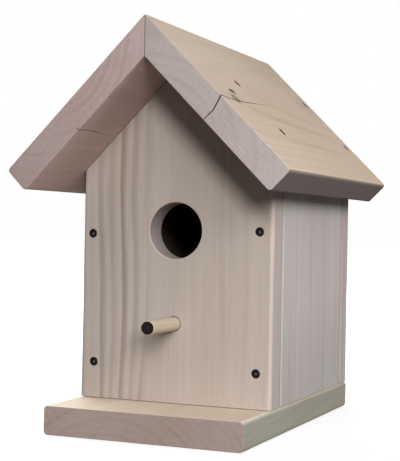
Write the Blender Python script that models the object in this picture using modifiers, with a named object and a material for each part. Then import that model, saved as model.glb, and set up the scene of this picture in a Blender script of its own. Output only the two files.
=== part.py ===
"""A wooden birdhouse: a box of boards on a base, a mitred ridge roof, a round door and a perch.

Everything is sawn from one stock board, 19 mm thick and 140 mm wide, and joined with
countersunk wood screws. Metres, +Z up, the front face towards -Y, and the origin on the
ground in the middle of the outer box.
"""

import math

import bmesh
import bpy
from mathutils import Vector

# The stock board.
BOARD_THICKNESS = 0.019
BOARD_WIDTH = 0.140
EASED_EDGE = 0.0025
EASED_SEGMENTS = 3

# Air between pieces that touch, so that no two solids share a face.
GAP = 0.0003

# The house.
HOUSE_DEPTH = BOARD_WIDTH + 2 * BOARD_THICKNESS
RIDGE_HEIGHT = 0.2724
ROOF_PITCH = math.radians(45)
ROOF_FRONT_OVERHANG = 0.054
ROOF_LENGTH = ROOF_FRONT_OVERHANG + HOUSE_DEPTH
BASE_FRONT_OVERHANG = 0.050
BASE_LENGTH = BASE_FRONT_OVERHANG + HOUSE_DEPTH

# The door and the perch, with heights above the top of the base.
DOOR_RADIUS = 0.019
DOOR_HEIGHT = 0.1165
DOOR_SEGMENTS = 56
PERCH_RADIUS = 0.00475
PERCH_REACH = 0.0415
PERCH_SOCKET = 0.015
PERCH_HEIGHT = 0.0537
PERCH_ROUNDING = 0.0005
PERCH_SEGMENTS = 32

# The screws.
SCREW_LENGTH = 0.038
SCREW_HEAD_RADIUS = 0.0030
SCREW_RIM = 0.0005
SCREW_NECK = 0.0040
SCREW_SHANK_RADIUS = 0.0017
SCREW_POINT = 0.0050
SCREW_SINK = 0.0004
SCREW_SEGMENTS = 16
RECESS_SPAN = 0.0034
RECESS_SLOT = 0.0008
RECESS_DEPTH = 0.0013
SCREW_TURN = math.radians(37)

# Where the screws go. Heights are above the base, slope distances run down from the ridge.
WALL_SCREW_INSET = BOARD_THICKNESS / 2
WALL_SCREW_HEIGHTS = {"lower": 0.0245, "upper": 0.1155}
BASE_SCREW_SETBACK = 0.045
ROOF_SCREW_SETBACK = 0.0115
ROOF_SCREW_DISTANCES = {"upper": 0.051, "lower": 0.099}

# How far some screws were driven off their marks: +X and up on a wall, or down the slope and
# back on the roof.
ON_THE_MARK = (0.0, 0.0)
STRAY = {
    "front_screw_left_upper": (-0.0021, -0.0019),
    "front_screw_left_lower": (0.0002, 0.0004),
    "front_screw_right_upper": (-0.0004, 0.0012),
    "front_screw_right_lower": (-0.0014, -0.0007),
    "roof_screw_right_front_upper": (0.0015, 0.0032),
    "roof_screw_right_front_lower": (0.0004, 0.0013),
}

# Places in the outer box.
FRONT_Y = ROOF_FRONT_OVERHANG - ROOF_LENGTH / 2
BACK_Y = FRONT_Y + HOUSE_DEPTH
BASE_TOP = BOARD_THICKNESS
SLOPE_SIDEWAYS = math.cos(ROOF_PITCH)
SLOPE_DOWN = math.sin(ROOF_PITCH)
WALL_PEAK = RIDGE_HEIGHT - BASE_TOP - (BOARD_THICKNESS + GAP) / math.cos(ROOF_PITCH)
SIDES = {"left": -1, "right": 1}

# Colours of the raw timber and the blackened screws: red, green, blue.
FRONT_PINE = (0.56, 0.46, 0.35)
SIDE_PINE = (0.50, 0.41, 0.31)
BASE_PINE = (0.50, 0.40, 0.29)
ROOF_PINE = (0.62, 0.52, 0.38)
DOWEL_BIRCH = (0.60, 0.47, 0.31)
BLACK_STEEL = (0.03, 0.03, 0.032)


def clear_scene():
    """Remove every object that the scene already holds."""
    for item in list(bpy.data.objects):
        bpy.data.objects.remove(item, do_unlink=True)


def new_collection(name):
    """Make a collection under the scene's own."""
    collection = bpy.data.collections.new(name)
    bpy.context.scene.collection.children.link(collection)
    return collection


def paint(name, colour, roughness, metallic=0.0):
    """Make a plain surface material."""
    material = bpy.data.materials.new(name)
    material.use_nodes = True
    shader = material.node_tree.nodes["Principled BSDF"]
    shader.inputs["Base Color"].default_value = (*colour, 1.0)
    shader.inputs["Roughness"].default_value = roughness
    shader.inputs["Metallic"].default_value = metallic
    return material


def timber(name, colour):
    return paint(name + "_timber", colour, roughness=0.75)


def empty(name, location, collection):
    """An axis that other pieces are measured from."""
    axis = bpy.data.objects.new(name, None)
    axis.location = location
    axis.empty_display_size = 0.03
    collection.objects.link(axis)
    return axis


def add_object(name, mesh, collection, parent=None, material=None):
    piece = bpy.data.objects.new(name, mesh)
    piece.parent = parent
    collection.objects.link(piece)
    if material is not None:
        piece.data.materials.append(material)
    return piece


def mesh_from(bm, name):
    """Turn a bmesh into a mesh whose round parts shade smoothly."""
    bmesh.ops.recalc_face_normals(bm, faces=bm.faces)
    mesh = bpy.data.meshes.new(name)
    bm.to_mesh(mesh)
    bm.free()
    mesh.shade_smooth()
    mesh.set_sharp_from_angle(angle=math.radians(30))
    return mesh


def baked_mesh(piece, name):
    """The mesh that an object's modifiers make; the object itself goes."""
    bpy.context.view_layer.update()
    evaluated = piece.evaluated_get(bpy.context.evaluated_depsgraph_get())
    mesh = bpy.data.meshes.new_from_object(evaluated)
    mesh.name = name
    bpy.data.objects.remove(piece, do_unlink=True)
    return mesh


def box(low, high):
    """A closed box between two corners."""
    low, high = Vector(low), Vector(high)
    bm = bmesh.new()
    bmesh.ops.create_cube(bm, size=1.0)
    bmesh.ops.scale(bm, vec=high - low, verts=bm.verts)
    bmesh.ops.translate(bm, vec=(low + high) / 2, verts=bm.verts)
    return bm


def cylinder(radius, low_z, high_z, segments):
    """A closed cylinder about Z."""
    bm = bmesh.new()
    bmesh.ops.create_cone(bm, cap_ends=True, segments=segments, radius1=radius, radius2=radius,
                          depth=high_z - low_z)
    bmesh.ops.translate(bm, vec=(0, 0, (low_z + high_z) / 2), verts=bm.verts)
    return bm


def ease_long_edges(bm, grain_axis, only_beyond=None):
    """Round over the edges along the grain, as the mill leaves them.

    With only_beyond, just the edges whose X is past that value are rounded.
    """
    chosen = []
    for edge in bm.edges:
        first, second = (vert.co for vert in edge.verts)
        along = (second - first).normalized()
        if abs(along[grain_axis]) < 0.999:
            continue
        if only_beyond is not None and first.x < only_beyond:
            continue
        chosen.append(edge)
    bmesh.ops.bevel(bm, geom=chosen, offset=EASED_EDGE, offset_type="OFFSET", affect="EDGES",
                    segments=EASED_SEGMENTS, profile=0.5)


def saw(bm, point, normal):
    """Cut straight through and keep what lies behind the plane's normal."""
    geometry = bm.verts[:] + bm.edges[:] + bm.faces[:]
    bmesh.ops.bisect_plane(bm, geom=geometry, plane_co=point, plane_no=normal, clear_outer=True,
                           dist=1e-7)
    rim = [edge for edge in bm.edges if edge.is_boundary]
    bmesh.ops.holes_fill(bm, edges=rim)


def drill(piece, cutters):
    """Cut each cutter out of the piece."""
    for cutter in cutters:
        hole = piece.modifiers.new("cut_" + cutter.name, "BOOLEAN")
        hole.operation = "DIFFERENCE"
        hole.solver = "EXACT"
        hole.object = cutter


def add_cutter(name, mesh, collection, parent):
    cutter = add_object(name, mesh, collection, parent)
    cutter.hide_render = True
    cutter.display_type = "WIRE"
    return cutter


def turned_mesh(name, profile, collection):
    """Turn a list of (radius, height) about Z, from the top to the bottom."""
    mesh = bpy.data.meshes.new(name + "_profile")
    points = [(radius, 0.0, height) for radius, height in profile]
    edges = [(index, index + 1) for index in range(len(points) - 1)]
    mesh.from_pydata(points, edges, [])
    blank = add_object(name + "_blank", mesh, collection)
    turn = blank.modifiers.new("turn", "SCREW")
    turn.steps = SCREW_SEGMENTS
    turn.render_steps = SCREW_SEGMENTS
    turn.use_merge_vertices = True
    turn.merge_threshold = 0.00001
    return baked_mesh(blank, name)


def screw_mesh(collection):
    """A countersunk wood screw pointing down -Z, with a cross recess in its head."""
    top = -SCREW_SINK
    profile = [
        (0.0, top),
        (SCREW_HEAD_RADIUS, top),
        (SCREW_HEAD_RADIUS, top - SCREW_RIM),
        (SCREW_SHANK_RADIUS, top - SCREW_NECK),
        (SCREW_SHANK_RADIUS, SCREW_POINT - SCREW_LENGTH),
        (0.0, -SCREW_LENGTH),
    ]
    blank = add_object("screw_blank", turned_mesh("screw_body", profile, collection), collection)
    bars = []
    for name, half_x, half_y in (("recess_x", RECESS_SPAN / 2, RECESS_SLOT / 2),
                                 ("recess_y", RECESS_SLOT / 2, RECESS_SPAN / 2)):
        bar = box((-half_x, -half_y, top - RECESS_DEPTH), (half_x, half_y, 0.001))
        bars.append(add_cutter(name, mesh_from(bar, name), collection, None))
    drill(blank, bars)
    mesh = baked_mesh(blank, "wood_screw")
    for bar in bars:
        bpy.data.objects.remove(bar, do_unlink=True)
    mesh.shade_smooth()
    mesh.set_sharp_from_angle(angle=math.radians(30))
    return mesh


def pilot_mesh(collection):
    """The hole that a screw needs: its own shape with air round it, open at the face."""
    top = -SCREW_SINK
    profile = [
        (0.0, 0.001),
        (SCREW_HEAD_RADIUS + GAP, 0.001),
        (SCREW_HEAD_RADIUS + GAP, top - SCREW_RIM - GAP),
        (SCREW_SHANK_RADIUS + GAP, top - SCREW_NECK - GAP),
        (SCREW_SHANK_RADIUS + GAP, SCREW_POINT - SCREW_LENGTH - GAP),
        (0.0, -SCREW_LENGTH - 2 * GAP),
    ]
    return turned_mesh("pilot_hole", profile, collection)


def front_and_back(collection, house):
    """The two gable boards, which cover the front and back edges of the side boards."""
    panels = {}
    for name, outer_y, colour in (("front_panel", 0.0, FRONT_PINE),
                                  ("back_panel", HOUSE_DEPTH - BOARD_THICKNESS, FRONT_PINE)):
        bm = box((-BOARD_WIDTH / 2, 0, GAP), (BOARD_WIDTH / 2, BOARD_THICKNESS, RIDGE_HEIGHT))
        ease_long_edges(bm, grain_axis=2)
        for side in SIDES.values():
            saw(bm, (0, 0, WALL_PEAK), (side * SLOPE_DOWN, 0, SLOPE_SIDEWAYS))
        panel = add_object(name, mesh_from(bm, name), collection, house, timber(name, colour))
        panel.location = (0, outer_y, 0)
        panels[name] = panel
    return panels


def side_panels(collection, house):
    """The two side boards, bevelled along the top to fit under the roof."""
    panels = {}
    for side_name, side in SIDES.items():
        name = side_name + "_side_panel"
        inner_x = side * (BOARD_WIDTH / 2 - BOARD_THICKNESS)
        outer_x = side * BOARD_WIDTH / 2
        low = (min(inner_x, outer_x), GAP, GAP)
        high = (max(inner_x, outer_x), BOARD_WIDTH - GAP, RIDGE_HEIGHT)
        bm = box(low, high)
        ease_long_edges(bm, grain_axis=2)
        saw(bm, (0, 0, WALL_PEAK), (side * SLOPE_DOWN, 0, SLOPE_SIDEWAYS))
        panel = add_object(name, mesh_from(bm, name), collection, house, timber(name, SIDE_PINE))
        panel.location = (0, BOARD_THICKNESS, 0)
        panels[name] = panel
    return panels


def base(collection, root):
    """The floor, which runs forward past the front panel as a sill."""
    bm = box((-BOARD_WIDTH / 2, 0, 0), (BOARD_WIDTH / 2, BASE_LENGTH, BOARD_THICKNESS))
    ease_long_edges(bm, grain_axis=1)
    board = add_object("base_board", mesh_from(bm, "base_board"), collection, root,
                       timber("base_board", BASE_PINE))
    board.location = (0, FRONT_Y - BASE_FRONT_OVERHANG, 0)
    return board


def roof(collection, ridge):
    """Two boards mitred along the ridge. Each lies flat here and is tilted to the pitch."""
    boards = {}
    for side_name, side in SIDES.items():
        name = side_name + "_roof_board"
        bm = box((0, 0, -BOARD_THICKNESS), (BOARD_WIDTH, ROOF_LENGTH, 0))
        ease_long_edges(bm, grain_axis=1, only_beyond=BOARD_WIDTH / 2)
        half_gap = GAP / 2 / math.cos(ROOF_PITCH)
        saw(bm, (half_gap, 0, 0), (-SLOPE_SIDEWAYS, 0, -SLOPE_DOWN))
        if side < 0:
            bmesh.ops.scale(bm, vec=(-1, 1, 1), verts=bm.verts)
        board = add_object(name, mesh_from(bm, name), collection, ridge, timber(name, ROOF_PINE))
        board.location = (0, -ROOF_FRONT_OVERHANG, 0)
        board.rotation_euler = (0, side * ROOF_PITCH, 0)
        boards[name] = board
    return boards


def perch(collection, house):
    """The dowel, glued into a blind hole in the front panel."""
    bm = cylinder(PERCH_RADIUS, GAP - PERCH_SOCKET, PERCH_REACH, PERCH_SEGMENTS)
    tip = [edge for edge in bm.edges
           if all(abs(vert.co.z - PERCH_REACH) < 1e-6 for vert in edge.verts)]
    bmesh.ops.bevel(bm, geom=tip, offset=PERCH_ROUNDING, offset_type="OFFSET", affect="EDGES",
                    segments=2, profile=0.5)
    dowel = add_object("perch_dowel", mesh_from(bm, "perch_dowel"), collection, house,
                       paint("perch_dowel_timber", DOWEL_BIRCH, roughness=0.6))
    dowel.location = (0, 0, PERCH_HEIGHT)
    dowel.rotation_euler = (math.radians(90), 0, 0)
    return dowel


def door_cutters(cutters, house):
    """The round door, right through the front panel, and the perch's blind hole."""
    door_bm = cylinder(DOOR_RADIUS, -2 * BOARD_THICKNESS, BOARD_THICKNESS, DOOR_SEGMENTS)
    door = add_cutter("door_cutter", mesh_from(door_bm, "door_cutter"), cutters, house)
    door.location = (0, 0, DOOR_HEIGHT)
    socket_bm = cylinder(PERCH_RADIUS + GAP, -PERCH_SOCKET, BOARD_THICKNESS, PERCH_SEGMENTS)
    socket = add_cutter("perch_cutter", mesh_from(socket_bm, "perch_cutter"), cutters, house)
    socket.location = (0, 0, PERCH_HEIGHT)
    for cutter in (door, socket):
        cutter.rotation_euler = (math.radians(90), 0, 0)
    return [door, socket]


def screw_places():
    """Each screw's name, what it is measured from, its place, its tilt and its two boards."""
    places = []
    wall_x = BOARD_WIDTH / 2 - WALL_SCREW_INSET
    for side_name, side in SIDES.items():
        side_panel = side_name + "_side_panel"
        for level, height in WALL_SCREW_HEIGHTS.items():
            for face, y, tilt in (("front", 0.0, 90), ("back", HOUSE_DEPTH, -90)):
                name = f"{face}_screw_{side_name}_{level}"
                across, up = STRAY.get(name, ON_THE_MARK)
                places.append((name, "house", (side * wall_x + across, y, height + up),
                               (math.radians(tilt), 0), (face + "_panel", side_panel)))
        for end, y in (("front", BASE_SCREW_SETBACK), ("back", HOUSE_DEPTH - BASE_SCREW_SETBACK)):
            places.append((f"base_screw_{side_name}_{end}", "house",
                           (side * wall_x, y, -BOARD_THICKNESS), (math.radians(180), 0),
                           ("base_board", side_panel)))
        for end, y in (("front", ROOF_SCREW_SETBACK), ("back", HOUSE_DEPTH - ROOF_SCREW_SETBACK)):
            for level, distance in ROOF_SCREW_DISTANCES.items():
                name = f"roof_screw_{side_name}_{end}_{level}"
                down, back = STRAY.get(name, ON_THE_MARK)
                down += distance
                place = (side * down * SLOPE_SIDEWAYS, y + back, -down * SLOPE_DOWN)
                places.append((name, "ridge", place, (0, side * ROOF_PITCH),
                               (side_name + "_roof_board", end + "_panel")))
    return places


def fasten(collection, cutters, axes, boards):
    """Put in every screw and drill its hole through the two boards that it joins."""
    shared_screw = screw_mesh(cutters)
    shared_screw.materials.append(paint("black_screw_steel", BLACK_STEEL, 0.45, metallic=0.8))
    shared_pilot = pilot_mesh(cutters)
    for index, (name, axis, place, tilt, joined) in enumerate(screw_places()):
        screw = add_object(name, shared_screw, collection, axes[axis])
        pilot = add_cutter(name + "_pilot", shared_pilot, cutters, axes[axis])
        for item in (screw, pilot):
            item.location = place
            item.rotation_mode = "ZYX"
            item.rotation_euler = (*tilt, index * SCREW_TURN)
        for board_name in joined:
            drill(boards[board_name], [pilot])


def build():
    clear_scene()
    collection = new_collection("birdhouse")
    cutters = new_collection("cutters")
    root = empty("birdhouse_axis", (0, 0, 0), collection)
    house = empty("house_axis", (0, FRONT_Y, BASE_TOP), collection)
    ridge = empty("ridge_axis", (0, FRONT_Y, RIDGE_HEIGHT), collection)
    house.parent = root
    ridge.parent = root

    boards = {"base_board": base(collection, root)}
    boards.update(front_and_back(collection, house))
    boards.update(side_panels(collection, house))
    boards.update(roof(collection, ridge))
    perch(collection, house)
    drill(boards["front_panel"], door_cutters(cutters, house))
    fasten(collection, cutters, {"house": house, "ridge": ridge}, boards)
    bpy.context.view_layer.update()


build()
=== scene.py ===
"""The looks of a raw wooden birdhouse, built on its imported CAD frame.

Each board is cut again with rounder eased edges, softened saw cuts, a worn door rim and
countersunk screw holes, and gets a solid timber material whose growth rings run through the
whole board, so that the faces, edges and end grain agree.
"""

import math
import random

import bmesh
import bpy
from mathutils import Matrix, Vector


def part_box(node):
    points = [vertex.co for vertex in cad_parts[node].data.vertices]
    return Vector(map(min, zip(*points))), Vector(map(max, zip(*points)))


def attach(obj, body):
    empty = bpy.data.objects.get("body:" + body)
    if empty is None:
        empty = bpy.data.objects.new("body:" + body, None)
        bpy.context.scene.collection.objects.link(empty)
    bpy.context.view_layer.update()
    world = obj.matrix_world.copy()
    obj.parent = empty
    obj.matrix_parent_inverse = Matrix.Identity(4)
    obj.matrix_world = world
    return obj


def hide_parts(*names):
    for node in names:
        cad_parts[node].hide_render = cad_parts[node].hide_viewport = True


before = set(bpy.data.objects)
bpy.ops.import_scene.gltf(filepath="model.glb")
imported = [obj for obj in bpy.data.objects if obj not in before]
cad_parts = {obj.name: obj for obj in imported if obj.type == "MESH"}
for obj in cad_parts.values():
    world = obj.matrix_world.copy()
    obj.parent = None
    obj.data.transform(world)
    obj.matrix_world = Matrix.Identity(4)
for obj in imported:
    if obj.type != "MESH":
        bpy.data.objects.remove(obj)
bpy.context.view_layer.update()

# ---------------------------------------------------------------- sizes, in metres

MM = 0.001
GAP = 0.3 * MM
PITCH = math.radians(45)
SIDES = {"left": -1, "right": 1}

FRONT_LOW, FRONT_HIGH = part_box("front_panel")
BASE_LOW, BASE_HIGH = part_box("base_board")
ROOF_LOW, ROOF_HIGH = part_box("right_roof_board")
PERCH_LOW, PERCH_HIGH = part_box("perch_dowel")

THICKNESS = FRONT_HIGH.y - FRONT_LOW.y
FRONT_Y = FRONT_LOW.y
BOARD_WIDTH = FRONT_HIGH.x - FRONT_LOW.x
RIDGE_Z = ROOF_HIGH.z + GAP / 2
ROOF_FRONT = ROOF_LOW.y - FRONT_Y
ROOF_BACK = ROOF_HIGH.y - FRONT_Y
WALL_PEAK = FRONT_HIGH.z

EASED_EDGE = 2.5 * MM
EASED_SEGMENTS = 6
SAWN_EDGE = 0.35 * MM
SANDED_EDGE = 0.7 * MM
SMOOTH_ANGLE = math.radians(28)
SCREW_SMOOTH_ANGLE = math.radians(30)

# How far the door's and the perch's cutters stick out of the wood.
OVERSHOOT = 2 * MM

DOOR_RADIUS = 19 * MM
DOOR_HEIGHT = 116.5 * MM
DOOR_Z = BASE_HIGH.z + DOOR_HEIGHT
DOOR_RIM = 0.9 * MM

PERCH_RADIUS = (PERCH_HIGH.x - PERCH_LOW.x) / 2
PERCH_Z = (PERCH_HIGH.z + PERCH_LOW.z) / 2
PERCH_TIP = FRONT_Y - PERCH_LOW.y
PERCH_ROUNDING = 0.5 * MM
PERCH_WAVE = 0.03 * MM

SCREW_LENGTH = 38 * MM
SCREW_POINT = 5 * MM
SHANK_RADIUS = 1.7 * MM
HEAD_RADIUS = 3 * MM
HEAD_RIM = 0.25 * MM
HEAD_DEPTH = 4 * MM
HEAD_DIP = 0.05 * MM
HEAD_SINK = 0.12 * MM
RECESS_REACH = 1.9 * MM
RECESS_HALF_WIDTH = 0.5 * MM
RECESS_DEPTH = 1.7 * MM
SCREW_LEVELS = ("upper", "lower")

# The hole that a screw sits in.
PILOT_DISH = 0.35 * MM
PILOT_MOUTH = HEAD_RADIUS + 0.08 * MM
PILOT_TOP = 1 * MM
PILOT_NECK = 4.6 * MM

# What the drying splits have in common.
SPLIT_STEPS = 34
SPLIT_WANDER = 1.1 * MM
SPLIT_LEAN = 3.0 * MM
SPLIT_LIFT = 0.5 * MM


# ---------------------------------------------------------------- shapes


def block(low, high):
    """A closed box between two corners."""
    low, high = Vector(low), Vector(high)
    bm = bmesh.new()
    bmesh.ops.create_cube(bm, size=1.0)
    bmesh.ops.scale(bm, vec=high - low, verts=bm.verts)
    bmesh.ops.translate(bm, vec=(low + high) / 2, verts=bm.verts)
    return bm


def ease(bm, grain, wanted=lambda point: True):
    """Round the long edges, those along the grain."""
    chosen = []
    for edge in bm.edges:
        first, second = (vert.co for vert in edge.verts)
        if abs((second - first).normalized()[grain]) > 0.999 and wanted(first):
            chosen.append(edge)
    bmesh.ops.bevel(bm, geom=chosen, offset=EASED_EDGE, offset_type="OFFSET", affect="EDGES",
                    segments=EASED_SEGMENTS, profile=0.5)


def saw(bm, point, normal):
    """Cut through along a plane and keep what lies behind its normal."""
    bmesh.ops.bisect_plane(bm, geom=bm.verts[:] + bm.edges[:] + bm.faces[:], plane_co=point,
                           plane_no=normal, clear_outer=True, dist=1e-7)
    bmesh.ops.holes_fill(bm, edges=[edge for edge in bm.edges if edge.is_boundary])


def soften(bm, amount=SAWN_EDGE):
    """Take the sharpness off the sawn edges."""
    bm.normal_update()
    sharp = [edge for edge in bm.edges if edge.calc_face_angle(0) > math.radians(25)]
    bmesh.ops.bevel(bm, geom=sharp, offset=amount, offset_type="OFFSET", affect="EDGES",
                    segments=2, profile=0.5, clamp_overlap=True)


def to_mesh(bm, name):
    """Hand over a finished bmesh as a mesh with outward normals."""
    bmesh.ops.recalc_face_normals(bm, faces=bm.faces)
    mesh = bpy.data.meshes.new(name)
    bm.to_mesh(mesh)
    bm.free()
    return mesh


def lathe(name, profile, segments):
    """Turn (radius, height) points about Z."""
    bm = bmesh.new()
    verts = [bm.verts.new((radius, 0, height)) for radius, height in profile]
    edges = [bm.edges.new(pair) for pair in zip(verts, verts[1:])]
    bmesh.ops.spin(bm, geom=verts + edges, cent=(0, 0, 0), axis=(0, 0, 1), dvec=(0, 0, 0),
                   angle=math.tau, steps=segments, use_merge=True, use_duplicate=False)
    bmesh.ops.remove_doubles(bm, verts=bm.verts, dist=1e-7)
    return to_mesh(bm, name)


def arc(centre_radius, centre_height, radius, start, end, steps=5):
    """Points on a quarter round of a lathe profile; the angles are in degrees."""
    points = []
    for step in range(steps + 1):
        angle = math.radians(start + (end - start) * step / steps)
        points.append((centre_radius + radius * math.cos(angle),
                       centre_height + radius * math.sin(angle)))
    return points


def place(name, mesh, matrix=None):
    """Put a mesh in the scene as an object."""
    piece = bpy.data.objects.new(name, mesh)
    bpy.context.scene.collection.objects.link(piece)
    if matrix is not None:
        piece.matrix_world = matrix
    return piece


def cut(piece, cutters):
    """Take the cutters' shapes out of the piece for good; the cutters go."""
    for cutter in cutters:
        step = piece.modifiers.new(cutter.name, "BOOLEAN")
        step.operation = "DIFFERENCE"
        step.solver = "EXACT"
        step.object = cutter
    bpy.context.view_layer.update()
    evaluated = piece.evaluated_get(bpy.context.evaluated_depsgraph_get())
    mesh = bpy.data.meshes.new_from_object(evaluated)
    mesh.name = piece.name
    piece.modifiers.clear()
    piece.data = mesh
    for cutter in cutters:
        bpy.data.objects.remove(cutter, do_unlink=True)


def finish_piece(piece, node, material):
    """Shade the piece, give it its material and let it stand for its CAD node."""
    piece.data.materials.clear()
    piece.data.materials.append(material)
    piece.data.shade_smooth()
    piece.data.set_sharp_from_angle(angle=SMOOTH_ANGLE)
    flatten = piece.modifiers.new("flat_faces", "WEIGHTED_NORMAL")
    flatten.weight = 100
    flatten.keep_sharp = True
    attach(piece, "root")
    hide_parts(node)


# ---------------------------------------------------------------- screws: places and shape


def facing(direction, turn=0.0):
    """A turn that carries +Z to the direction, after a spin about +Z."""
    lean = Vector((0, 0, 1)).rotation_difference(Vector(direction)).to_matrix().to_4x4()
    return lean @ Matrix.Rotation(turn, 4, "Z")


def head_place(node, outward):
    """Where a CAD screw's head meets the face: a screw's length back from its point."""
    outward = Vector(outward)
    points = [vert.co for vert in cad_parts[node].data.vertices]
    tip = min(points, key=lambda point: point.dot(outward))
    return tip + outward * SCREW_LENGTH


def screw_places():
    """Each screw's CAD node, head centre and outward direction, and the two boards it joins."""
    screws = []
    for side_name, side in SIDES.items():
        wall = side_name + "_side_panel"
        roof = side_name + "_roof_board"
        outward = (side * math.sin(PITCH), 0, math.cos(PITCH))
        for level in SCREW_LEVELS:
            for end, away in (("front", (0, -1, 0)), ("back", (0, 1, 0))):
                screws.append((f"{end}_screw_{side_name}_{level}", away, (end + "_panel", wall)))
                screws.append((f"roof_screw_{side_name}_{end}_{level}", outward,
                               (roof, end + "_panel")))
        for end in ("front", "back"):
            screws.append((f"base_screw_{side_name}_{end}", (0, 0, -1), ("base_board", wall)))
    return [(node, head_place(node, away), away, joined) for node, away, joined in screws]


def screw_mesh():
    """A countersunk screw with a rounded head rim and a tapered cross recess, head upwards."""
    top = -HEAD_SINK
    profile = [(0, top - HEAD_DIP)]
    profile += arc(HEAD_RADIUS - HEAD_RIM, top - HEAD_RIM, HEAD_RIM, 90, -20)
    profile += [
        (SHANK_RADIUS, top - HEAD_DEPTH),
        (SHANK_RADIUS, SCREW_POINT - SCREW_LENGTH),
        (0, -SCREW_LENGTH),
    ]
    head = place("screw_blank", lathe("screw_blank", profile, 32))
    bars = []
    for turn in (0, math.pi / 2):
        bar = block((-RECESS_REACH, -RECESS_HALF_WIDTH, top - RECESS_DEPTH),
                    (RECESS_REACH, RECESS_HALF_WIDTH, 0.5 * MM))
        for vert in bar.verts:
            if vert.co.z < top:
                vert.co.x *= 0.35
                vert.co.y *= 0.6
        bars.append(place(f"recess_{len(bars)}", to_mesh(bar, "recess"),
                          Matrix.Rotation(turn, 4, "Z")))
    cut(head, bars)
    mesh = head.data
    mesh.name = "fine_screw"
    bpy.data.objects.remove(head, do_unlink=True)
    return mesh


def pilot_mesh():
    """The hole round a screw, with the wood at its mouth pressed down into a small dish."""
    top = -HEAD_SINK
    outside = PILOT_MOUTH + PILOT_DISH
    profile = [(0, PILOT_TOP), (outside, PILOT_TOP)]
    profile += arc(outside, -PILOT_DISH, PILOT_DISH, 90, 180, 4)
    profile += [
        (PILOT_MOUTH, top - 0.8 * MM),
        (SHANK_RADIUS + GAP, top - PILOT_NECK),
        (SHANK_RADIUS + GAP, SCREW_POINT - SCREW_LENGTH),
        (0, -SCREW_LENGTH - GAP),
    ]
    return lathe("pilot", profile, 28)


# ---------------------------------------------------------------- timber and metal


class Shading:
    """Short ways to wire up one material's nodes."""

    def __init__(self, name):
        self.material = bpy.data.materials.new(name)
        self.material.use_nodes = True
        self.tree = self.material.node_tree
        self.shader = self.tree.nodes["Principled BSDF"]
        self.coordinates = self.node("ShaderNodeTexCoord")

    def node(self, kind, **settings):
        made = self.tree.nodes.new(kind)
        for key, value in settings.items():
            setattr(made, key, value)
        return made

    def feed(self, socket, value):
        """Link a socket, or set it to a plain value."""
        if isinstance(value, bpy.types.NodeSocket):
            self.tree.links.new(value, socket)
        elif isinstance(value, tuple) and len(value) == 3 and socket.type == "RGBA":
            socket.default_value = (*value, 1.0)
        else:
            socket.default_value = value

    def math(self, operation, *values):
        made = self.node("ShaderNodeMath", operation=operation)
        for socket, value in zip(made.inputs, values):
            self.feed(socket, value)
        return made.outputs[0]

    def add(self, first, second):
        return self.math("ADD", first, second)

    def times(self, first, second):
        return self.math("MULTIPLY", first, second)

    def total(self, *values):
        result = values[0]
        for value in values[1:]:
            result = self.add(result, value)
        return result

    def axes(self, output="Object"):
        """The three parts of the piece's own coordinates, or of its normal."""
        split = self.node("ShaderNodeSeparateXYZ")
        self.feed(split.inputs[0], self.coordinates.outputs[output])
        return list(split.outputs)

    def vector(self, *parts):
        made = self.node("ShaderNodeCombineXYZ")
        for socket, value in zip(made.inputs, parts):
            self.feed(socket, value)
        return made.outputs[0]

    def noise(self, vector, scale=1.0, detail=2.0, roughness=0.5):
        """Cloudy noise, centred on 0.5."""
        made = self.node("ShaderNodeTexNoise")
        self.feed(made.inputs["Vector"], vector)
        made.inputs["Scale"].default_value = scale
        made.inputs["Detail"].default_value = detail
        made.inputs["Roughness"].default_value = roughness
        return made.outputs["Fac"]

    def swing(self, value, amount):
        """A noise value turned into -amount/2 to amount/2."""
        return self.times(self.math("SUBTRACT", value, 0.5), amount)

    def rise(self, value, low, high, bottom=0.0, top=1.0):
        """A smooth step from bottom to top as value goes from low to high."""
        made = self.node("ShaderNodeMapRange", interpolation_type="SMOOTHSTEP")
        for socket, part in zip(made.inputs, (value, low, high, bottom, top)):
            self.feed(socket, part)
        return made.outputs[0]

    def mix(self, factor, first, second, blend="MIX"):
        made = self.node("ShaderNodeMix", data_type="RGBA", blend_type=blend)
        made.clamp_factor = True
        self.feed(made.inputs["Factor"], factor)
        self.feed(made.inputs[6], first)
        self.feed(made.inputs[7], second)
        return made.outputs[2]

    def mix_values(self, factor, first, second):
        made = self.node("ShaderNodeMix", data_type="FLOAT")
        for socket, value in zip(made.inputs, (factor, None, first, second)):
            if value is not None:
                self.feed(socket, value)
        return made.outputs[0]

    def scaled(self, colour, factor):
        """A colour times a number."""
        made = self.node("ShaderNodeVectorMath", operation="SCALE")
        self.feed(made.inputs[0], colour)
        self.feed(made.inputs["Scale"], factor)
        return made.outputs[0]

    def bump(self, height, strength=1.0):
        """Relief from a height in metres."""
        made = self.node("ShaderNodeBump")
        made.inputs["Strength"].default_value = strength
        made.inputs["Distance"].default_value = 1.0
        self.feed(made.inputs["Height"], height)
        return made.outputs[0]


# Colours: the pale and the dark part of a ring, a knot, its bark, and what the faces inside the
# box are multiplied by: painted shade, for the dark inside seen through the door.
EARLYWOOD = (0.510, 0.438, 0.385)
LATEWOOD = (0.300, 0.226, 0.178)
KNOTWOOD = (0.150, 0.092, 0.055)
BARK = (0.045, 0.030, 0.022)
# Painted shade: this darkens the colour of every face inside the box.
INSIDE_PAINTED_SHADE = (0.40, 0.37, 0.34)


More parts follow.
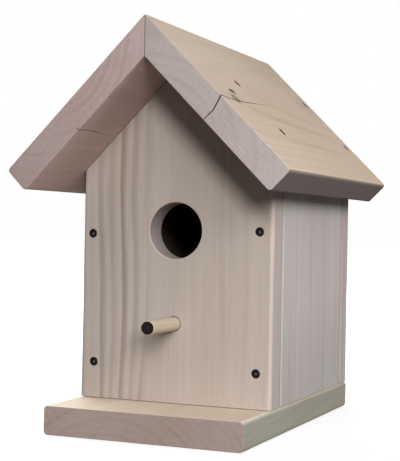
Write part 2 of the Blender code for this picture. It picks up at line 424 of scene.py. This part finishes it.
def timber(name, axes, pith, lean, ring, contrast, sway=10 * MM, wander=1.6 * MM,
           fade=None, tone=1.0, drift=0.0, painted_face_light=(), end_tone=0.82, end_contrast=0.3,
           knots=(), marks=(), marks_above=None, seed=0.0):
    """Sawn softwood, as a solid: rings round a pith line that runs nearly along the grain.

    axes     the letters of the grain, width and thickness directions
    pith     where the pith passes, across and deep, at the origin of the grain direction
    lean     how far the pith drifts across and deep for each metre along the grain
    ring     how thick one year's ring is
    contrast how much of the dark latewood shows on the long faces; end_contrast on the ends
    sway     how far the pith line winds from side to side
    wander   how far a ring strays from a true round
    fade     (centre, near, far, share): the rings show best within near of the centre, across,
             and their contrast falls to share at far
    tone     how pale the whole board is; end_tone is how pale its ends are beside that
    drift    how much paler the wood gets for each metre across, from heartwood to sapwood
    tints    (face, colour) that each face's colour is multiplied by: painted light and shade,
         each face made lighter, darker or tinted for how light falls on it; a face is ends,
         edges, and near or far for the low and high side of the thickness
    knots    (along, across, radius) of each knot
    marks    (along, across, half length, half width, darkness) of each streak or stain;
             a negative darkness is a pale one
    marks_above  how deep the marks go, or None where they go right through
    seed     a number of the board's own, so that no two boards share a pattern
    """
    s = Shading(name)
    parts = dict(zip("xyz", s.axes()))
    along, across, deep = (parts[letter] for letter in axes)
    facings = dict(zip("xyz", s.axes("Normal")))
    face_along, face_across, face_deep = (facings[letter] for letter in axes)
    steepness = {
        "ends": s.math("ABSOLUTE", face_along),
        "edges": s.math("ABSOLUTE", face_across),
        "near": s.times(face_deep, -1.0),
        "far": face_deep,
    }

    def stretched(wide, long, shift=0.0):
        """Coordinates for a pattern so many times finer across the grain than along it."""
        return s.vector(s.times(across, wide), s.times(deep, wide),
                        s.add(s.times(along, long), seed + shift))

    # The rings, pushed aside by the knots.
    slow = s.noise(stretched(9, 5), detail=1.5)
    quick = s.noise(stretched(55, 7, 3.1), detail=2.0)
    push = 0.0
    for knot_along, knot_across, radius in knots:
        reach_along = s.times(s.math("SUBTRACT", along, knot_along), 0.45 / radius)
        reach_across = s.times(s.math("SUBTRACT", across, knot_across), 0.6 / radius)
        near = s.add(s.times(reach_along, reach_along), s.times(reach_across, reach_across))
        bulge = s.math("DIVIDE", 1.9 * radius, s.add(1.0, near))
        push = s.add(push, bulge)

    side_step = s.total(across, -pith[0], s.times(along, -lean[0]), s.swing(slow, sway))
    depth_step = s.total(deep, -pith[1], s.times(along, -lean[1]))
    reach = s.math("SQRT", s.add(s.times(side_step, side_step), s.times(depth_step, depth_step)))
    reach = s.total(reach, s.swing(quick, wander), push)
    count = s.math("DIVIDE", reach, ring)
    year = s.math("FLOOR", count)
    season = s.math("FRACT", count)
    chance = s.node("ShaderNodeTexWhiteNoise", noise_dimensions="1D")
    s.feed(chance.inputs["W"], s.add(year, seed))
    latewood = s.times(s.rise(season, 0.15, 0.74), s.rise(season, 0.78, 1.0, 1.0, 0.0))
    latewood = s.times(latewood, s.add(0.15, s.times(chance.outputs["Value"], 1.05)))
    presence = s.noise(stretched(28, 7, 41.3), detail=1.0)
    latewood = s.times(latewood, s.rise(presence, 0.30, 0.62, 0.45, 1.15))
    shade = s.times(latewood, contrast)
    if fade is not None:
        centre, near, far, share = fade
        off_centre = s.math("ABSOLUTE", s.math("SUBTRACT", across, centre))
        shade = s.times(shade, s.rise(off_centre, near, far, 1.0, share))
    end = s.rise(steepness["ends"], 0.6, 0.85)
    shade = s.mix_values(end, shade, s.times(latewood, end_contrast))

    #     Fibres, streaks and flecks, and eased edges painted paler: a painted highlight on the
    #     rounded edges, together with some handling wear.
    fibre = s.noise(stretched(1500, 22, 7.7), detail=3.0, roughness=0.6)
    streak = s.noise(stretched(330, 6, 11.3), detail=3.0, roughness=0.6)
    cloud = s.noise(stretched(16, 5, 17.9), detail=2.0)
    fleck = s.rise(s.noise(stretched(900, 55, 23.1), detail=1.0), 0.66, 0.76)
    flatness = s.math("ABSOLUTE", face_deep)
    rounded = s.times(s.rise(flatness, 0.10, 0.40), s.rise(flatness, 0.90, 0.985, 1.0, 0.0))
    # Painted highlight, partly wear: the rounded edges are made paler.
    edge_highlight_and_wear = s.times(rounded, s.add(0.4, s.rise(cloud, 0.35, 0.65)))
    value = s.total(tone, s.times(across, drift), s.swing(fibre, 0.16), s.swing(streak, 0.22),
                    s.swing(cloud, 0.22), s.times(fleck, -0.10), s.times(edge_highlight_and_wear, 0.12))
    colour = s.mix(shade, EARLYWOOD, LATEWOOD)
    warm = s.mix(s.rise(cloud, 0.35, 0.65), (1.0, 0.985, 0.97), (1.0, 1.005, 1.02))
    colour = s.mix(1.0, colour, warm, "MULTIPLY")

    # Knots with their bark, then streaks and stains.
    wobble = s.swing(s.noise(stretched(240, 200, 31.7), detail=2.0), 0.5)
    pit = 0.0
    for knot_along, knot_across, radius in knots:
        reach_along = s.times(s.math("SUBTRACT", along, knot_along), 0.8 / radius)
        reach_across = s.times(s.math("SUBTRACT", across, knot_across), 1.0 / radius)
        near = s.math("SQRT", s.add(s.times(reach_along, reach_along),
                                    s.times(reach_across, reach_across)))
        near = s.add(near, wobble)
        inside = s.rise(near, 0.85, 1.10, 1.0, 0.0)
        bark = s.times(s.rise(near, 0.7, 0.95), s.rise(near, 1.0, 1.25, 1.0, 0.0))
        halo = s.rise(near, 1.0, 2.4, 0.30, 0.0)
        colour = s.mix(halo, colour, LATEWOOD)
        colour = s.mix(s.times(inside, 0.50), colour, KNOTWOOD)
        colour = s.mix(s.times(bark, 0.55), colour, BARK)
        pit = s.add(pit, s.times(bark, -0.15 * MM))
    for mark_along, mark_across, half_along, half_across, darkness in marks:
        reach_along = s.times(s.math("SUBTRACT", along, mark_along), 1.0 / half_along)
        off_line = s.total(across, -mark_across, s.swing(quick, 0.9 * half_across))
        reach_across = s.times(off_line, 1.0 / half_across)
        near = s.add(s.times(reach_along, reach_along), s.times(reach_across, reach_across))
        inside = s.rise(near, 0.0, 1.0, 1.0, 0.0)
        if marks_above is not None:
            inside = s.times(inside, s.rise(deep, marks_above - 1 * MM, marks_above + 1 * MM))
        value = s.add(value, s.times(inside, -darkness))

    #     End grain, and each face's own colour factor: painted light and shade that makes a face
    #     lighter, darker or tinted for how light falls on it.
    pores = s.noise(s.vector(s.times(across, 1400), s.times(deep, 1400), seed), detail=2.0)
    chatter = s.noise(s.vector(s.times(across, 60), s.times(deep, 900), seed + 5), detail=2.0)
    end_value = s.total(end_tone, s.swing(pores, 0.24), s.swing(chatter, 0.14))
    value = s.times(value, s.add(1.0, s.times(end, s.math("SUBTRACT", end_value, 1.0))))
    for face, face_light_factor in painted_face_light:
        colour = s.mix(s.rise(steepness[face], 0.40, 0.80), colour, face_light_factor, "MULTIPLY")
    s.feed(s.shader.inputs["Base Color"], s.scaled(colour, value))

    # Gloss and relief.
    roughness = s.total(0.66, s.swing(fibre, 0.22), s.times(latewood, -0.10),
                        s.times(end, 0.16))
    s.feed(s.shader.inputs["Roughness"], roughness)
    s.shader.inputs["Specular IOR Level"].default_value = 0.22
    long_relief = s.total(s.times(fibre, 0.10 * MM), s.times(latewood, 0.09 * MM),
                          s.times(fleck, -0.06 * MM), s.times(streak, 0.12 * MM))
    end_relief = s.total(s.times(pores, 0.14 * MM), s.times(chatter, 0.16 * MM))
    relief = s.total(s.times(long_relief, s.math("SUBTRACT", 1.0, end)),
                     s.times(end_relief, end), pit)
    s.feed(s.shader.inputs["Normal"], s.bump(relief, 0.7))
    return s.material


def dowel_wood(name):
    """The perch: fine straight grain, and an end that years of feet and rain have blackened."""
    s = Shading(name)
    x, y, z = s.axes()
    grain = s.noise(s.vector(s.times(x, 900), s.times(y, 900), s.times(z, 18)), detail=3.0)
    band = s.noise(s.vector(s.times(x, 260), s.times(y, 260), s.times(z, 9)), detail=2.0)
    value = s.total(1.0, s.swing(grain, 0.30), s.swing(band, 0.28))
    colour = s.scaled((0.46, 0.385, 0.285), value)
    tip = s.rise(z, PERCH_TIP - 0.55 * MM, PERCH_TIP - 0.12 * MM)
    radius = s.math("SQRT", s.add(s.times(x, x), s.times(y, y)))
    pith = s.rise(radius, 0.3 * MM, 1.0 * MM, 1.0, 0.0)
    spots = s.noise(s.vector(s.times(x, 800), s.times(y, 800), 4.0), detail=2.0)
    stain = s.mix(s.times(pith, 0.4), s.scaled((0.011, 0.006, 0.007), s.add(0.5, spots)),
                  (0.09, 0.06, 0.05))
    face = s.rise(radius, PERCH_RADIUS - 0.62 * MM, PERCH_RADIUS - 0.30 * MM, 1.0, 0.0)
    colour = s.mix(s.times(tip, face), colour, stain)
    s.feed(s.shader.inputs["Base Color"], colour)
    s.feed(s.shader.inputs["Roughness"], s.total(0.55, s.swing(grain, 0.2)))
    s.shader.inputs["Specular IOR Level"].default_value = 0.35
    s.feed(s.shader.inputs["Normal"], s.bump(s.times(grain, 0.08 * MM), 0.8))
    return s.material


def screw_steel(name):
    """Black coated steel, rubbed bare in patches on the rim by the driver, and pale in the recess:
    there a painted highlight together with the driver's wear.
    """
    s = Shading(name)
    x, y, z = s.axes()
    radius = s.math("SQRT", s.add(s.times(x, x), s.times(y, y)))
    grime = s.noise(s.coordinates.outputs["Object"], scale=900, detail=3.0)
    # The recess is painted pale: a painted highlight, with the driver's wear.
    recess = s.times(s.rise(z, -1.6 * MM, -0.6 * MM, 1.0, 0.0),
                     s.rise(radius, 1.2 * MM, 1.9 * MM, 1.0, 0.0))
    rim = s.times(s.rise(radius, 2.7 * MM, 2.95 * MM), s.rise(grime, 0.45, 0.65))
    recess_highlight_and_rim_wear = s.math("MAXIMUM", s.times(recess, 0.95), s.times(rim, 0.5))
    colour = s.mix(recess_highlight_and_rim_wear, s.scaled((0.022, 0.020, 0.021), s.add(0.6, s.times(grime, 0.8))),
                   (0.46, 0.42, 0.41))
    s.feed(s.shader.inputs["Base Color"], colour)
    s.shader.inputs["Metallic"].default_value = 0.6
    s.feed(s.shader.inputs["Roughness"], s.add(0.42, s.swing(grime, 0.3)))
    s.feed(s.shader.inputs["Normal"], s.bump(s.times(grime, 0.03 * MM), 0.6))
    return s.material


# ---------------------------------------------------------------- boards


def turned_cutter(name, profile, centre, outward, segments):
    """A lathe shape that stands on a face, its heights measured outwards."""
    matrix = Matrix.Translation(centre) @ facing(outward)
    return place(name, lathe(name, profile, segments), matrix)


def gable_board(name, low, high):
    """The front or back panel, with its top sawn to the roof's two slopes."""
    bm = block((low.x, low.y, low.z), (high.x, high.y, WALL_PEAK + THICKNESS))
    ease(bm, grain=2)
    for side in SIDES.values():
        saw(bm, (0, 0, WALL_PEAK), (side * math.sin(PITCH), 0, math.cos(PITCH)))
    soften(bm)
    return place("fine_" + name, to_mesh(bm, name))


def side_board(name, side, low, high):
    """A side panel, with its top bevelled to the roof's slope."""
    bm = block((low.x, low.y, low.z), (high.x, high.y, WALL_PEAK))
    ease(bm, grain=2)
    saw(bm, (0, 0, WALL_PEAK), (side * math.sin(PITCH), 0, math.cos(PITCH)))
    soften(bm)
    return place("fine_" + name, to_mesh(bm, name))


def sill_board(name):
    """The base, which runs forward as a sill."""
    bm = block(BASE_LOW, BASE_HIGH)
    ease(bm, grain=1)
    soften(bm)
    return place("fine_" + name, to_mesh(bm, name))


def roof_board(name, side):
    """A roof board in its own frame: X down the slope, Y back from the front panel's face."""
    near, far = sorted((0.0, side * BOARD_WIDTH))
    bm = block((near, ROOF_FRONT, -THICKNESS), (far, ROOF_BACK, 0))
    ease(bm, grain=1, wanted=lambda point: abs(point.x) > BOARD_WIDTH / 2)
    half_gap = GAP / 2 / math.cos(PITCH)
    saw(bm, (side * half_gap, 0, 0), (-side * math.cos(PITCH), 0, -math.sin(PITCH)))
    soften(bm, SANDED_EDGE)
    matrix = Matrix.Translation((0, FRONT_Y, RIDGE_Z)) @ Matrix.Rotation(side * PITCH, 4, "Y")
    return place("fine_" + name, to_mesh(bm, name), matrix)


def door_cutter():
    """The door's bore, flared at both faces, where the cut has worn round."""
    flare = DOOR_RADIUS + DOOR_RIM
    profile = [(0, OVERSHOOT), (flare, OVERSHOOT)]
    profile += arc(flare, -DOOR_RIM, DOOR_RIM, 90, 180)
    profile += arc(flare, DOOR_RIM - THICKNESS, DOOR_RIM, 180, 270)
    profile += [(flare, -THICKNESS - OVERSHOOT), (0, -THICKNESS - OVERSHOOT)]
    return turned_cutter("door", profile, (0, FRONT_Y, DOOR_Z), (0, -1, 0), 96)


def socket_cutter():
    """The perch's blind hole."""
    depth = PERCH_HIGH.y - FRONT_Y + GAP
    rim = PERCH_RADIUS + GAP + SAWN_EDGE
    profile = [(0, OVERSHOOT), (rim, OVERSHOOT), (rim, 0)]
    profile += [(PERCH_RADIUS + GAP, -SAWN_EDGE), (PERCH_RADIUS + GAP, -depth), (0, -depth)]
    return turned_cutter("socket", profile, (0, FRONT_Y, PERCH_Z), (0, -1, 0), 40)


def split_cutter(matrix, surface, down, drift, stop, width, front_depth, seed):
    """A drying split in a roof board, open at the front end and closing backwards.

    It opens in the top face, with surface 0, or in the underside, and leans as it goes in. Its
    line starts so far down the slope, drifts as it goes back, and wanders with the grain. It is
    front_depth deep at the front end, soon a quarter of that, and closes where y is stop.
    """
    chance = random.Random(seed)
    into = -1 if surface == 0 else 1
    start = ROOF_FRONT - 1 * MM
    rows = []
    for step in range(SPLIT_STEPS + 1):
        share = step / SPLIT_STEPS
        y = start + (stop - start) * share
        middle = down + drift * share ** 2 + SPLIT_WANDER * math.sin(share * 5.2)
        middle += chance.uniform(-0.15, 0.15) * MM
        half = width / 2 * (1 - share) ** 0.7 + 0.06 * MM
        depth = max(front_depth * (1 - share * 3.2), front_depth * (1 - share) / 4 + 1 * MM)
        lean = SPLIT_LEAN * depth / THICKNESS
        rows.append([
            (middle - half, y, surface - into * SPLIT_LIFT),
            (middle + half, y, surface - into * SPLIT_LIFT),
            (middle + lean + 0.7 * half, y, surface + into * depth / 2),
            (middle + 0.87 * lean + 0.4 * half, y, surface + into * depth),
            (middle + 0.87 * lean - 0.4 * half, y, surface + into * depth),
            (middle + lean - 0.7 * half, y, surface + into * depth / 2),
        ])
    bm = bmesh.new()
    rings = [[bm.verts.new(point) for point in row] for row in rows]
    for first, second in zip(rings, rings[1:]):
        for index in range(len(first)):
            after = (index + 1) % len(first)
            bm.faces.new((first[index], first[after], second[after], second[index]))
    bm.faces.new(rings[0])
    bm.faces.new(reversed(rings[-1]))
    return place("split", to_mesh(bm, "split"), matrix)


def pocket_cutter(matrix, down, y, half_length, half_width, depth, turn):
    """A small boat-shaped pocket in a face, where pitch or bark has dropped out."""
    bm = bmesh.new()
    bmesh.ops.create_icosphere(bm, subdivisions=3, radius=1.0)
    bmesh.ops.scale(bm, vec=(half_width, half_length, depth), verts=bm.verts)
    bmesh.ops.rotate(bm, matrix=Matrix.Rotation(turn, 3, "Z"), verts=bm.verts)
    bmesh.ops.translate(bm, vec=(down, y, 0), verts=bm.verts)
    return place("pocket", to_mesh(bm, "pocket"), matrix)


def perch_piece():
    """The dowel, with a rounded tip, along its own Z."""
    inner = FRONT_Y - PERCH_HIGH.y
    shoulder = PERCH_TIP - PERCH_ROUNDING
    profile = [(0, PERCH_TIP)]
    profile += arc(PERCH_RADIUS - PERCH_ROUNDING, shoulder, PERCH_ROUNDING, 90, 0)
    steps = 12
    for step in range(1, steps):
        height = shoulder + (inner - shoulder) * step / steps
        profile.append((PERCH_RADIUS - PERCH_WAVE * math.sin(step * 2.1) ** 2, height))
    profile += [(PERCH_RADIUS, inner), (0, inner)]
    matrix = Matrix.Translation((0, FRONT_Y, PERCH_Z)) @ facing((0, -1, 0))
    return place("fine_perch_dowel", lathe("perch", profile, 48), matrix)


boards = {}
for name in ("front_panel", "back_panel"):
    boards[name] = gable_board(name, *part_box(name))
for side_name, side in SIDES.items():
    name = side_name + "_side_panel"
    boards[name] = side_board(name, side, *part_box(name))
    boards[side_name + "_roof_board"] = roof_board(side_name + "_roof_board", side)
boards["base_board"] = sill_board("base_board")

cutters = {name: [] for name in boards}
cutters["front_panel"] += [door_cutter(), socket_cutter()]
right_roof = boards["right_roof_board"].matrix_world.copy()
cutters["right_roof_board"] += [
    split_cutter(right_roof, surface=0, down=74.6 * MM, drift=-2.2 * MM, stop=36 * MM,
                 width=1.1 * MM, front_depth=20 * MM, seed=11),
    pocket_cutter(right_roof, down=65.5 * MM, y=-18.4 * MM, half_length=4.2 * MM,
                  half_width=1.8 * MM, depth=2.0 * MM, turn=-0.15),
]
left_roof = boards["left_roof_board"].matrix_world.copy()
cutters["left_roof_board"] += [
    split_cutter(left_roof, surface=-THICKNESS, down=-84.5 * MM, drift=2.3 * MM, stop=-4 * MM,
                 width=0.7 * MM, front_depth=2.5 * MM, seed=12),
]

pilot = pilot_mesh()
for node, centre, outward, joined in screw_places():
    for board in joined:
        matrix = Matrix.Translation(centre) @ facing(outward)
        cutters[board].append(place("pilot_" + node, pilot, matrix))
for name, board in boards.items():
    cut(board, cutters[name])

# ---------------------------------------------------------------- finishes

# Each board's face factors below are painted light and shade: faces made lighter or darker for how
# light falls on them, the inside faces darkened as painted shade, and the joint edges and the eave
# darkened as painted shadow.
finishes = {
    "front_panel": ("gable_pine", timber(
        "front_panel_timber", "zxy", pith=(4 * MM, -6 * MM), lean=(0.01, 0.01), ring=5.0 * MM,
        contrast=0.60, sway=22 * MM, wander=4.5 * MM, fade=(-43 * MM, 13 * MM, 26 * MM, 0.15),
        drift=1.4, painted_face_light=(("far", INSIDE_PAINTED_SHADE), ("edges", (0.84, 0.85, 0.90))), seed=1.0)),
    "back_panel": ("gable_pine", timber(
        "back_panel_timber", "zxy", pith=(-10 * MM, 145 * MM), lean=(0.04, 0.10),
        ring=4.6 * MM, contrast=0.35, painted_face_light=(("near", INSIDE_PAINTED_SHADE), ("edges", (0.96, 0.98, 1.08))),
        knots=((150 * MM, 30 * MM, 5 * MM),), seed=2.0)),
    "left_side_panel": ("side_pine", timber(
        "left_side_panel_timber", "zyx", pith=(20 * MM, -40 * MM), lean=(-0.05, 0.06),
        ring=5.2 * MM, contrast=0.30,
        painted_face_light=(("far", INSIDE_PAINTED_SHADE), ("near", (1.12, 1.17, 1.26)), ("edges", (0.52, 0.54, 0.58))),
        seed=3.0)),
    "right_side_panel": ("side_pine", timber(
        "right_side_panel_timber", "zyx", pith=(95 * MM, 30 * MM), lean=(0.03, -0.04),
        ring=6 * MM, contrast=0.10,
        painted_face_light=(("near", INSIDE_PAINTED_SHADE), ("far", (1.01, 1.09, 1.20)), ("edges", (0.52, 0.54, 0.58))),
        seed=4.0,
        marks=((110 * MM, -13 * MM, 200 * MM, 2.0 * MM, 0.10),
               (110 * MM, -9 * MM, 200 * MM, 1.6 * MM, -0.06),
               (100 * MM, 21 * MM, 160 * MM, 2.2 * MM, 0.08),
               (90 * MM, 53 * MM, 200 * MM, 2.5 * MM, 0.09),
               # The last mark makes the panel darker towards the bottom, strongest near the base.
               (15 * MM, 45 * MM, 78 * MM, 170 * MM, 0.10)))),
    "base_board": ("base_pine", timber(
        "base_board_timber", "yxz", pith=(-15 * MM, -45 * MM), lean=(0.05, 0.04),
        ring=5 * MM, contrast=0.15, end_tone=0.72, end_contrast=0.18,
        painted_face_light=(("ends", (1.10, 1.00, 0.99)), ("edges", (0.67, 0.75, 0.70)),
               ("far", (1.27, 1.23, 1.10))), seed=5.0)),
    "left_roof_board": ("roof_pine", timber(
        "left_roof_board_timber", "yxz", pith=(-60 * MM, 45 * MM), lean=(0.06, 0.03),
        ring=5.5 * MM, contrast=0.25, end_contrast=0.22, tone=1.08, drift=1.2,
        painted_face_light=(("ends", (1.06, 0.95, 1.02)), ("near", (1.21, 1.05, 1.06)),
               ("far", (0.98, 0.92, 0.83)), ("edges", (0.62, 0.60, 0.58))), seed=6.0)),
    "right_roof_board": ("roof_pine", timber(
        "right_roof_board_timber", "yxz", pith=(60 * MM, -60 * MM), lean=(-0.04, 0.05),
        ring=6 * MM, contrast=0.12, end_contrast=0.16, tone=0.92, drift=1.1,
        painted_face_light=(("ends", (1.12, 1.12, 1.21)), ("near", (0.80, 0.70, 0.72)),
               ("far", (1.00, 0.94, 0.84)), ("edges", (0.44, 0.43, 0.46))),
        knots=((-27 * MM, 74 * MM, 3.4 * MM),),
        marks=((-18.4 * MM, 65.5 * MM, 6.0 * MM, 2.9 * MM, 1.0),), marks_above=-7 * MM,
        seed=7.0)),
}
for name, (slot, material) in finishes.items():
    finish_piece(boards[name], name, material)

finish_piece(perch_piece(), "perch_dowel", dowel_wood("perch_dowel_timber"))

steel = screw_steel("black_screw_steel")
shared_screw = screw_mesh()
shared_screw.materials.append(steel)
shared_screw.shade_smooth()
shared_screw.set_sharp_from_angle(angle=SCREW_SMOOTH_ANGLE)
turns = random.Random(5)
for node, centre, outward, _joined in screw_places():
    matrix = Matrix.Translation(centre) @ facing(outward, turns.uniform(0, math.pi))
    screw = place("fine_" + node, shared_screw, matrix)
    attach(screw, "root")
    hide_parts(node)

# ---------------------------------------------------------------- stage, lights and camera

FLOOR_REACH = 12.0
FLOOR_DROP = 0.2 * MM
FLOOR_SHADE = 0.62
FLOOR_BOUNCE = 0.12
AIR_LIGHT = 0.02

AIM = Vector((0, 0, 0.13))
LIGHT_DISTANCE = 2.2

CAMERA_PLACE = Vector((0.3260, -0.7950, 0.1362))
CAMERA_AZIMUTH = math.radians(22.80)
CAMERA_ELEVATION = math.radians(0.02)
CAMERA_ROLL = math.radians(1.07)
CAMERA_LENS = 93.06
CAMERA_SENSOR = 36
CAMERA_NEAR = 0.02


def floor():
    """A wide pale floor, just clear of the base's underside."""
    bm = bmesh.new()
    bmesh.ops.create_grid(bm, x_segments=8, y_segments=8, size=FLOOR_REACH)
    bmesh.ops.translate(bm, vec=(0, 0, -FLOOR_DROP), verts=bm.verts)
    return place("studio_floor", to_mesh(bm, "studio_floor"))


def floor_paint():
    """Pale to look at: it glows for the camera, painted light that gets brighter with distance,
    but it throws little light back up.
    """
    s = Shading("studio_floor_paint")
    x, y, _z = s.axes()
    radius = s.math("SQRT", s.add(s.times(x, x), s.times(y, y)))
    seen = s.node("ShaderNodeLightPath").outputs["Is Camera Ray"]
    shade = s.rise(seen, 0.0, 1.0, FLOOR_BOUNCE, FLOOR_SHADE)
    s.feed(s.shader.inputs["Base Color"], s.scaled((1.0, 1.0, 1.0), shade))
    s.shader.inputs["Roughness"].default_value = 1.0
    s.shader.inputs["Specular IOR Level"].default_value = 0.0
    s.shader.inputs["Emission Color"].default_value = (1, 1, 1, 1)
    # Painted light: the floor glows for camera rays, less near the house than far off.
    s.feed(s.shader.inputs["Emission Strength"], s.times(seen, s.rise(radius, 0.15, 1.4, 0.5, 1.0)))
    return s.material


def softbox(name, azimuth, elevation, size, power, narrow=1.0, tilt=0.0):
    """A round soft light that faces the house. Azimuth 0 is in front and 90 is on the right.

    A narrow one is an ellipse, whose short side is so many times its size. Its tilt is how far
    its long side is turned from level, rising to the right.
    """
    light = bpy.data.lights.new(name, "AREA")
    light.shape = "ELLIPSE"
    light.size = size
    light.size_y = size * narrow
    light.energy = power
    a, e = math.radians(azimuth), math.radians(elevation)
    out = Vector((math.sin(a) * math.cos(e), -math.cos(a) * math.cos(e), math.sin(e)))
    holder = bpy.data.objects.new(name, light)
    bpy.context.scene.collection.objects.link(holder)
    holder.matrix_world = (Matrix.Translation(AIM + out * LIGHT_DISTANCE)
                           @ facing(out, a + math.radians(tilt)))


def white_air():
    """White to look at, but almost no light of its own: the softboxes light the house."""
    world = bpy.data.worlds.new("studio_air")
    bpy.context.scene.world = world
    world.use_nodes = True
    tree = world.node_tree
    seen = tree.nodes.new("ShaderNodeLightPath").outputs["Is Camera Ray"]
    strength = tree.nodes.new("ShaderNodeMapRange")
    tree.links.new(seen, strength.inputs["Value"])
    strength.inputs["To Min"].default_value = AIR_LIGHT
    strength.inputs["To Max"].default_value = 1.0
    background = tree.nodes["Background"]
    background.inputs["Color"].default_value = (1, 1, 1, 1)
    tree.links.new(strength.outputs["Result"], background.inputs["Strength"])


stage = floor()
stage.data.materials.append(floor_paint())

softbox("key_light", azimuth=25, elevation=17.5, size=1.3, power=25.7, narrow=0.35, tilt=-45)
softbox("soft_key_light", azimuth=38, elevation=24, size=1.2, power=16)
softbox("right_light", azimuth=80, elevation=24, size=1.2, power=25.3)
softbox("top_light", azimuth=38, elevation=64, size=1.8, power=7)
softbox("left_fill", azimuth=-115, elevation=24, size=1.6, power=26)
softbox("back_fill", azimuth=215, elevation=28, size=1.6, power=30)
white_air()

camera_data = bpy.data.cameras.new("camera")
camera_data.lens = CAMERA_LENS
camera_data.sensor_width = CAMERA_SENSOR
camera_data.clip_start = CAMERA_NEAR
camera = bpy.data.objects.new("camera", camera_data)
bpy.context.scene.collection.objects.link(camera)
back = Vector((
    math.sin(CAMERA_AZIMUTH) * math.cos(CAMERA_ELEVATION),
    -math.cos(CAMERA_AZIMUTH) * math.cos(CAMERA_ELEVATION),
    math.sin(CAMERA_ELEVATION),
))
level = Vector((math.cos(CAMERA_AZIMUTH), math.sin(CAMERA_AZIMUTH), 0))
turn = Matrix((level, back.cross(level), back)).transposed().to_4x4()
camera.matrix_world = (Matrix.Translation(CAMERA_PLACE) @ turn
                       @ Matrix.Rotation(CAMERA_ROLL, 4, "Z"))
bpy.context.scene.camera = camera
bpy.context.scene.view_settings.view_transform = "Standard"
